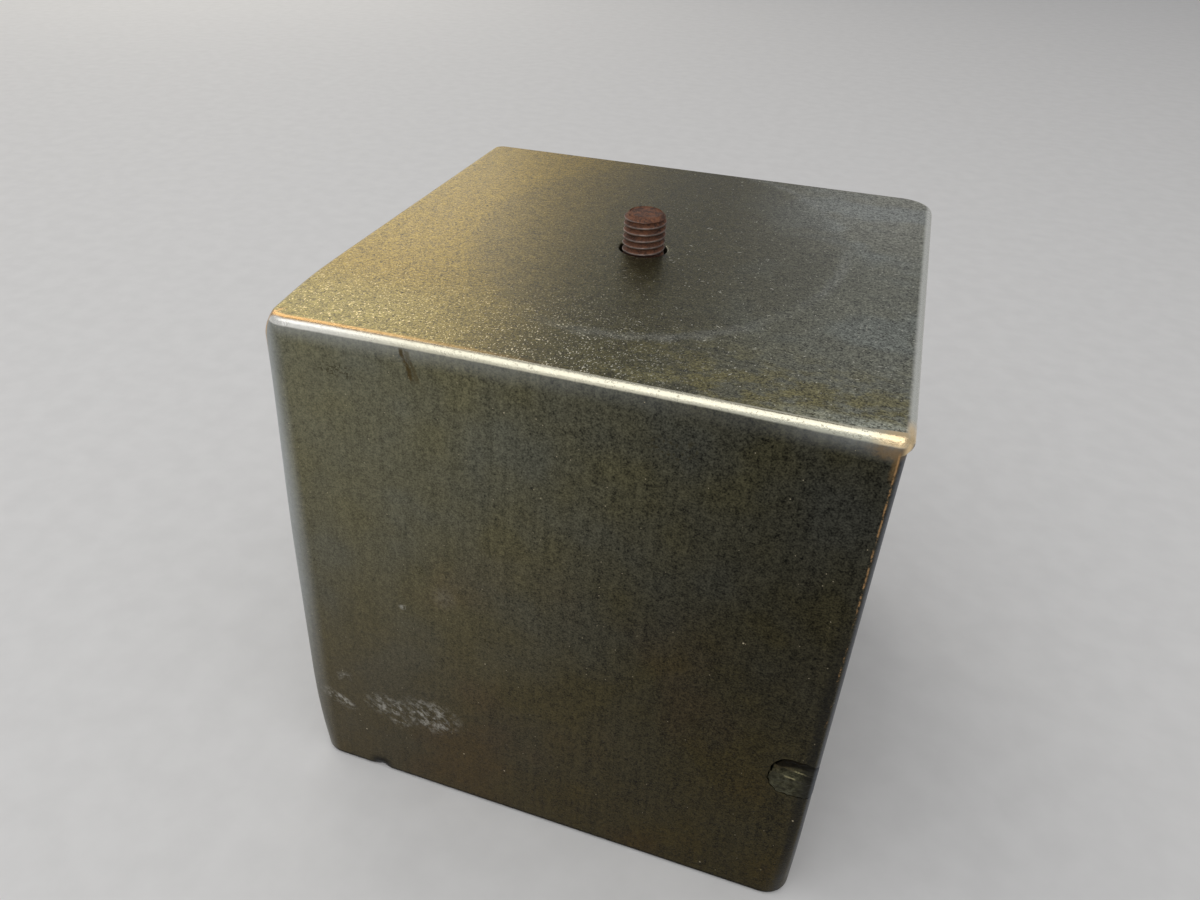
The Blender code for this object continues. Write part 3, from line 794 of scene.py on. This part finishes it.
    # Drip from the top edge, scuffs at the lower left, pale specks, and a near-black painted shadow along the
    # foot and in the chip
    strand = 25.9 + 0.3 * below + 1.8 * (mottle - 0.5)
    drip = (left - strand).size().ramp(0.55, 0.15).most(0.6 * (left - 0.8 - strand).size().ramp(0.5, 0.1))
    drip = drip * below.ramp(1.0, 1.8) * below.ramp(7.6, 6.2) * front.ramp(1.5, 0.5) * tooth.ramp(0.30, 0.50)
    colour = (0.9 * drip).over(colour, rgb(0.062, 0.041, 0.009))
    flakes = place.vector(0.45 * (0.85 * x - 0.5 * z), 0.75 * (0.5 * x + 0.85 * z), 0.0).noise(1.0, 5, 0.70)
    scuffs = patch(27.2, 20.8, 8.5, 6.0).most(0.9 * patch(18, 20, 7, 4.0))
    scuffs = scuffs.most(0.8 * patch(20.4, 16.2, 3.2, 2.4))
    scuffs = scuffs.most(patch(6.3, 17.8, 5.5, 2.2, -24)).most(0.6 * patch(8.2, 25, 2.4, 2.4))
    scuffs = (scuffs * flakes.ramp(0.45, 0.60) * (0.35 + 0.9 * tooth.ramp(0.38, 0.60))).least(1.0)
    scuffs = scuffs.most(0.16 * patch(31.6, 54, 3.4, 3.6) * tooth.ramp(0.25, 0.60))
    scuffs = scuffs.most(0.9 * patch(23, 49, 1.2, 0.9) * tooth.ramp(0.4, 0.6))
    colour = (0.62 * scuffs).over(colour, rgb(0.42, 0.41, 0.37))
    specks = place.specks(0.85, 0.10, 0.16) * 0.7
    specks = specks.most(place.moved(17, 5, 3).specks(0.22, 0.045, 0.34)) * upright
    colour = specks.over(colour, rgb(0.60, 0.52, 0.36))
    # Painted shadow in the chip and along the foot, where the wall meets the floor
    painted_chip_shadow = patch(CHIP_X / MM - BODY_LEFT / MM, 1.1, 3.6, 2.8) * tooth.ramp(0.25, 0.42)
    painted_foot_shadow = above.ramp(1.0, 0.3).most(painted_chip_shadow)
    colour = (0.97 * painted_foot_shadow).over(colour, rgb(0.004, 0.004, 0.003))

    # Flecks of bare metal on the top, thick and golden at the left, whiter towards the right
    fleck_field = place.stretched(1.0, 0.7, 1.0).moved(11, 3, 5).noise(2.9, 3, 0.62)
    near = front.ramp(32, 5)
    flecks = (fleck_field + 0.25 * (mottle - 0.5)).ramp(0.60, 0.65) * (0.20 + 0.80 * near) * left.ramp(86, 45)
    flecks = flecks.most(place.moved(9, 9, 9).specks(1.1, 0.16, 0.24) * left.ramp(30, 60))
    flecks = flecks.most(0.6 * place.moved(21, 4, 8).specks(2.1, 0.22, 0.20) * left.ramp(40, 70))
    for turn in (0.35, 1.0, 2.6):
        along = x * math.cos(turn) + y * math.sin(turn)
        over = y * math.cos(turn) - x * math.sin(turn)
        scratched = place.vector(0.28 * along, 1.5 * over, turn).specks(0.8, 0.12, 0.07)
        flecks = flecks.most(scratched * left.ramp(40, 60))
    flecks = flecks * on_top
    fleck_colour = left.ramp(25, 60).over(rgb(1.0, 0.82, 0.45), rgb(0.85, 0.83, 0.70))
    colour = flecks.over(colour, fleck_colour)

    # Wear along the edges: a pale band at the front and a pale lip at the right, worn bare and painted pale
    # as highlights, gold at the nose and the left
    broken = 0.12 * (mottle - 0.5) + 0.10 * (tooth - 0.5)
    width = 1.12 + 0.8 * right.ramp(8, 0)
    lower = 1.0 + 0.3 * right.ramp(30, 4)
    band_wear_and_highlight = (edge_front / width - broken).ramp(1.03, 0.93) * (fall / lower - broken).ramp(1.25, 0.92)
    band_wear_and_highlight = band_wear_and_highlight * right.ramp(-0.6, 1.0)
    gilt = (edge_front - width - 0.2 - broken).size().ramp(0.85, 0.2) * fall.ramp(1.6, 0.6) * left.ramp(56, 4)
    upright_gilt = (front - left - 0.1 - 3 * broken).size().ramp(1.0, 0.4) * left.ramp(4, 2.5)
    gilt = gilt.most(0.8 * upright_gilt * below.ramp(8, 3) * tooth.ramp(0.30, 0.50))
    lip_wear_and_highlight = (lip.most(below) / 1.45 - 1.5 * broken).ramp(1.15, 0.55) * front.ramp(0.5, 2.0)
    nose = place.distance(BODY_RIGHT / MM + 0.2, BODY_FRONT / MM + 0.8, TOP_Z / MM - 0.9)
    nose = (nose - 3.0 * (mottle - 0.5)).ramp(6.0, 1.6)
    line = (right - 0.95 - 2.0 * broken).size().ramp(0.20, 0.04) * front.ramp(1.2, 0.4) * below.ramp(1.8, 3.2)
    line = line * (place.noise(0.9, 4, 0.7) - 0.0035 * below).ramp(0.36, 0.52) * below.ramp(62, 50)
    stain = place.vector((right - 1.2) / 5.0, 0.0, (below - 2.3) / 1.9).distance(0, 0, 0)
    stain = stain.least(place.vector((right - 1.15) / 0.75, 0.0, (below - 4) / 4.5).distance(0, 0, 0))
    stain = (stain - 1.4 * (mottle - 0.5) - 0.8 * (tooth - 0.5)).ramp(1.0, 0.0) * front.ramp(2.0, 1.0)
    dx, dy, dz = left.least(lip), front.least(back), below.least(above)
    edge = dx.least(dy).most(dx.most(dy).least(dz))
    rub = (edge / 0.9 - 3 * broken).ramp(1.0, 0.3) * front.ramp(2.5, 4.0) * 0.5
    colour = rub.over(colour, rgb(0.26, 0.19, 0.09))
    colour = (0.65 * stain).over(colour, rgb(0.25, 0.155, 0.062))
    colour = (0.9 * line).over(colour, rgb(0.46, 0.27, 0.12))
    # Painted highlight on the worn lip at the right
    colour = (0.95 * lip_wear_and_highlight).over(colour, rgb(0.74, 0.75, 0.69))
    # The front band's colour: whiter at the left as a painted highlight, greyer low down towards the right as
    # a painted reflection
    band_wear_and_highlight_colour = left.ramp(32, 4).over(rgb(0.76, 0.725, 0.57), rgb(0.93, 0.92, 0.86))
    band_wear_and_highlight_colour = (0.6 * fall.ramp(0.45, 1.0) * right.ramp(45, 12)).over(band_wear_and_highlight_colour, rgb(0.44, 0.46, 0.40))
    colour = band_wear_and_highlight.over(colour, band_wear_and_highlight_colour)
    colour = (0.45 * band_wear_and_highlight * pits * left.ramp(20, 60)).over(colour, rgb(0.10, 0.08, 0.04))
    score = (front - 0.72 - 0.5 * broken).size().ramp(0.10, 0.03) * left.ramp(76, 81) * left.ramp(96, 91)
    colour = (0.7 * score * below.ramp(0.9, 0.5)).over(colour, rgb(0.12, 0.09, 0.04))
    colour = gilt.over(colour, rgb(0.68, 0.40, 0.14))
    gold = (nose * lip_wear_and_highlight.most(band_wear_and_highlight).most(edge.ramp(1.6, 0.6)) * below.ramp(2.9, 2.3)).least(1.0)
    colour = (0.9 * gold).over(colour, rgb(1.0, 0.76, 0.44))
    wear = band_wear_and_highlight.most(0.8 * lip_wear_and_highlight).most(gold).most(gilt)

    connect(shader, Base_Color=colour)
    metal = 0.62 + 0.25 * on_top + 0.30 * across * upright + 0.35 * wear + 0.4 * painted_foot_shadow
    connect(shader, Metallic=(metal - 0.5 * scuffs - 0.35 * haze_and_reflection - 0.4 * lip_wear_and_highlight).least(1.0).most(0.0))
    satin = 0.44 - 0.05 * on_top + 0.16 * (mottle - 0.5) + 0.20 * (tooth - 0.5)
    connect(shader, Roughness=satin - 0.14 * wear - 0.08 * gold + 0.15 * scuffs)
    connect(shader, Coat_Weight=0.10 - 0.08 * wear - 0.08 * across * upright)
    height = 0.8 * grain + 0.8 * tooth + 0.3 * streaks + 0.6 * mottle - 0.6 * pits
    connect(shader, Normal=bump(height, 0.4, 0.00012))
    return finish


def dull_plug_patina():
    """Dark grey-green, rough and matt, with pale worn lips along the slot painted as highlights, dirt in the
    hollows, a darker upper rim, and painted shade, shadow and sheen at the right edge.
    """
    finish, shader, place = new_finish("dull_plug_patina", Specular_IOR_Level=0.2)
    x, y, z = place.parts()
    mottle = place.noise(0.9, 5, 0.68)
    grain = place.noise(3.4, 3, 0.6)
    deep = y - BODY_FRONT / MM
    along = x - PLUG_X / MM
    off = (z - PLUG_Z / MM) * math.cos(PLUG_SLOT_TILT) - along * math.sin(PLUG_SLOT_TILT)
    off = off - PLUG_SLOT_RISE / MM
    colour = mottle.ramp(0.36, 0.64).over(rgb(0.026, 0.024, 0.012), rgb(0.082, 0.080, 0.048))
    colour = (0.7 * grain.ramp(0.50, 0.34)).over(colour, rgb(0.014, 0.012, 0.007))
    brown = (off - 0.6 * along).ramp(0.0, 3.0) * mottle.ramp(0.40, 0.58)
    colour = (0.7 * brown).over(colour, rgb(0.085, 0.058, 0.022))
    reach = 1.5 * PLUG_SLOT_HALF / MM
    # The slot's worn lips, painted pale as highlights
    lower_lip = (off + reach).size().ramp(0.24, 0.06) * along.ramp(0.4, -0.1) * along.ramp(-2.0, -1.4)
    upper_lip = (off - reach).size().ramp(0.24, 0.06) * along.ramp(-0.6, 0.2) * along.ramp(2.6, 2.2)
    colour = (0.8 * lower_lip.most(upper_lip) * grain.ramp(0.34, 0.48)).over(colour, rgb(0.32, 0.29, 0.16))
    # Darker along the plug's upper rim
    dark_upper_rim = (z - PLUG_Z / MM - 0.15 * along + 1.8 * (mottle - 0.5)).ramp(2.4, 3.1)
    colour = (0.9 * dark_upper_rim).over(colour, rgb(0.007, 0.006, 0.005))
    right = BODY_RIGHT / MM - x
    # Painted shade on the plug's sides down in the hole, a painted shadow beside the right edge and a painted
    # bluish sheen on its flank there, as on the wall
    colour = (deep.ramp(0.55, 0.95) * right.ramp(0.1, 0.6)).over(colour, rgb(0.010, 0.009, 0.007))
    colour = (0.85 * right.ramp(3.2, 1.4) * deep.ramp(2.4, 1.4)).over(colour, rgb(0.016, 0.015, 0.012))
    colour = (0.4 * right.ramp(0.9, 0.2) * deep.ramp(3.0, 1.2)).over(colour, rgb(0.22, 0.24, 0.28))
    connect(shader, Base_Color=colour)
    connect(shader, Metallic=0.6 + 0.4 * dark_upper_rim)
    connect(shader, Roughness=0.58 + 0.2 * (mottle - 0.5))
    connect(shader, Normal=bump(mottle + 0.5 * grain, 0.6, 0.00015))
    return finish


def rusted_steel():
    """Red-brown rust with dark scale and rubbed crests."""
    finish, shader, place = new_finish("rusted_steel")
    reach = place.stretched(1, 1, 0).distance(0, 0, 0)
    scale = place.noise(0.8, 5, 0.65)
    grain = place.noise(4.0, 3, 0.6)
    colour = scale.ramp(0.35, 0.65).over(rgb(0.055, 0.026, 0.018), rgb(0.190, 0.078, 0.040))
    colour = (0.7 * grain.ramp(0.52, 0.70)).over(colour, rgb(0.270, 0.120, 0.055))
    colour = (0.6 * grain.ramp(0.45, 0.30)).over(colour, rgb(0.020, 0.013, 0.011))
    crest = (reach + 0.25 * (scale - 0.5)).ramp(3.78, 3.95)
    colour = (0.55 * crest).over(colour, rgb(0.30, 0.27, 0.25))
    connect(shader, Base_Color=colour)
    connect(shader, Metallic=0.15 + 0.6 * crest)
    connect(shader, Roughness=0.80 - 0.35 * crest + 0.2 * (scale - 0.5))
    connect(shader, Normal=bump(scale + 0.6 * grain, 0.6, 0.00015))
    return finish


def zinc_plate():
    """Bright zinc with a faint blue and yellow bloom, and dull white patches."""
    finish, shader, place = new_finish("zinc_plate", Metallic=1.0)
    bloom = place.noise(0.25, 3, 0.6)
    mottle = place.noise(1.4, 4, 0.6)
    scratches = place.stretched(0.3, 3.0, 1.0).noise(2.0, 3, 0.6)
    colour = bloom.ramp(0.35, 0.65).over(rgb(0.50, 0.53, 0.58), rgb(0.60, 0.57, 0.47))
    colour = (0.6 * mottle.ramp(0.55, 0.70)).over(colour, rgb(0.66, 0.67, 0.66))
    connect(shader, Base_Color=colour)
    connect(shader, Roughness=0.30 + 0.25 * mottle + 0.12 * (scratches - 0.5))
    connect(shader, Normal=bump(scratches + mottle, 0.2, 0.00008))
    return finish


def filed_bronze():
    """Bare bronze with saw and file marks, browned a little."""
    finish, shader, place = new_finish("filed_bronze", Metallic=1.0)
    marks = place.stretched(0.25, 3.2, 3.2).noise(1.2, 3, 0.6)
    clouds = place.noise(0.12, 4, 0.6)
    colour = clouds.ramp(0.35, 0.65).over(rgb(0.30, 0.18, 0.075), rgb(0.50, 0.34, 0.155))
    colour = (0.45 * marks.ramp(0.52, 0.68)).over(colour, rgb(0.62, 0.45, 0.22))
    connect(shader, Base_Color=colour)
    connect(shader, Roughness=0.34 + 0.28 * marks)
    connect(shader, Normal=bump(marks, 0.35, 0.00012))
    return finish


def weld_bronze():
    """Rippled weld metal, straw to plum with heat, sooty in the toes."""
    finish, shader, place = new_finish("weld_bronze", Metallic=1.0)
    heat = place.noise(0.10, 3, 0.6)
    soot = place.noise(0.6, 5, 0.65)
    colour = heat.ramp(0.34, 0.50).over(rgb(0.46, 0.29, 0.11), rgb(0.38, 0.18, 0.085))
    colour = heat.ramp(0.52, 0.66).over(colour, rgb(0.24, 0.13, 0.12))
    colour = (0.75 * soot.ramp(0.50, 0.66)).over(colour, rgb(0.045, 0.036, 0.028))
    connect(shader, Base_Color=colour)
    connect(shader, Roughness=0.38 + 0.35 * soot)
    connect(shader, Normal=bump(soot, 0.35, 0.00015))
    return finish


def oiled_beech():
    """Beech with long growth lines and the short dark flecks of its rays."""
    finish, shader, place = new_finish("oiled_beech")
    growth = place.stretched(0.012, 0.30, 0.30).noise(1.0, 4, 0.6, 0.4)
    fibre = place.stretched(0.10, 3.0, 3.0).noise(1.0, 3, 0.6)
    flecks = place.stretched(0.55, 2.2, 2.2).specks(0.8, 0.26, 0.55)
    colour = growth.ramp(0.35, 0.65).over(rgb(0.36, 0.205, 0.095), rgb(0.50, 0.325, 0.175))
    colour = (0.5 * fibre.ramp(0.50, 0.68)).over(colour, rgb(0.58, 0.40, 0.23))
    colour = (0.6 * flecks).over(colour, rgb(0.21, 0.105, 0.045))
    connect(shader, Base_Color=colour)
    connect(shader, Roughness=0.50 + 0.15 * fibre)
    connect(shader, Normal=bump(fibre - 0.4 * flecks, 0.3, 0.00010))
    return finish


def black_felt():
    """Pressed black wool with lighter stray fibres and a little lint."""
    finish, shader, place = new_finish("black_felt", Sheen_Weight=0.35, Sheen_Roughness=0.6, Roughness=0.95)
    pile = place.noise(1.1, 5, 0.7)
    fibres = place.stretched(0.5, 2.4, 1.0).noise(1.6, 4, 0.65, 1.2)
    crossed = place.stretched(2.4, 0.5, 1.0).noise(1.6, 4, 0.65, 1.2)
    colour = pile.ramp(0.35, 0.65).over(rgb(0.012, 0.012, 0.012), rgb(0.030, 0.030, 0.029))
    colour = (0.6 * fibres.most(crossed).ramp(0.60, 0.74)).over(colour, rgb(0.060, 0.059, 0.056))
    colour = (0.7 * place.specks(0.30, 0.10, 0.15)).over(colour, rgb(0.22, 0.21, 0.19))
    connect(shader, Base_Color=colour)
    connect(shader, Normal=bump(pile + 0.7 * fibres + 0.7 * crossed, 0.7, 0.00025))
    return finish


def repaint(finish, *names):
    """Gives CAD nodes that stay a worked-up finish."""
    for name in names:
        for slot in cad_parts[name].material_slots:
            slot.material = finish


def named_by_corner(stem):
    """The four nodes of one kind, one at each corner."""
    return [f"{stem}_{end}_{side}" for end in ("front", "back") for side in ("left", "right")]


# Stage, light and camera
def studio():
    """A plain pale floor and an even grey surround."""
    floor_mesh = bpy.data.meshes.new("studio_floor")
    reach = FLOOR_REACH
    corners = [(-reach, -reach, 0), (reach, -reach, 0), (reach, reach, 0), (-reach, reach, 0)]
    floor_mesh.from_pydata(corners, [], [(0, 1, 2, 3)])
    floor = bpy.data.objects.new("studio_floor", floor_mesh)
    bpy.context.scene.collection.objects.link(floor)
    finish, shader, place = new_finish("pale_floor", Roughness=0.85)
    speckle = place.noise(0.12, 3, 0.5)
    connect(shader, Base_Color=speckle.ramp(0.2, 0.8).over(rgb(0.70, 0.695, 0.685), rgb(0.74, 0.735, 0.725)))
    floor_mesh.materials.append(finish)

    world = bpy.data.worlds.new("studio")
    world.use_nodes = True
    background = world.node_tree.nodes["Background"]
    background.inputs["Color"].default_value = rgb(0.80, 0.80, 0.82)
    background.inputs["Strength"].default_value = 0.5
    bpy.context.scene.world = world


def softbox(name, place, target, size, power, colour=(1, 1, 1)):
    """An area lamp at a place, aimed at a target."""
    lamp = bpy.data.lights.new(name, "AREA")
    lamp.shape = "RECTANGLE"
    lamp.size, lamp.size_y = size
    lamp.energy = power
    lamp.color = colour
    made = bpy.data.objects.new(name, lamp)
    bpy.context.scene.collection.objects.link(made)
    made.location = place
    aim = Vector(target) - Vector(place)
    made.rotation_euler = aim.to_track_quat("-Z", "Y").to_euler()


def lights():
    """Softboxes above, in front and behind at the left."""
    centre = (0, 0, 0.08)
    softbox("overhead_softbox", (-0.15, -0.45, 1.0), centre, (1.5, 1.1), 5.4)
    softbox("front_softbox", (0.05, -1.30, 0.62), centre, (1.6, 0.8), 4.0)
    softbox("back_left_softbox", (-0.85, 0.95, 0.55), centre, (0.9, 0.6), 2.8, (1.0, 0.96, 0.88))


def camera():
    """The camera that was fitted to the photograph."""
    data = bpy.data.cameras.new("photo_camera")
    data.sensor_width = 36
    data.lens = CAMERA_LENS
    data.shift_x, data.shift_y = CAMERA_SHIFT
    data.clip_start = 0.01
    made = bpy.data.objects.new("photo_camera", data)
    bpy.context.scene.collection.objects.link(made)
    back = CAMERA_RIGHT.cross(CAMERA_UP)
    turn = Matrix((CAMERA_RIGHT, CAMERA_UP, back)).transposed()
    made.matrix_world = Matrix.Translation(CAMERA_PLACE) @ turn.to_4x4()
    bpy.context.scene.camera = made


def main():
    bpy.context.scene.view_settings.view_transform = "Standard"
    studio()
    lights()
    camera()
    patina = waxed_patina()
    dressed_top_plate(patina)
    plug_hole(dressed_walls(patina))
    slotted_plug(dull_plug_patina())
    threaded_stud(rusted_steel())
    felt_sheet(black_felt())
    repaint(zinc_plate(), "flat_washer", "spring_washer", "stud_nut", *named_by_corner("base_screw"))
    repaint(filed_bronze(), "stud_pad", *named_by_corner("corner_block"))
    top_welds = [f"weld_top_{side}" for side in ("front", "right", "back", "left")]
    repaint(weld_bronze(), *top_welds, *named_by_corner("weld"))
    repaint(oiled_beech(), "base_board")


main()
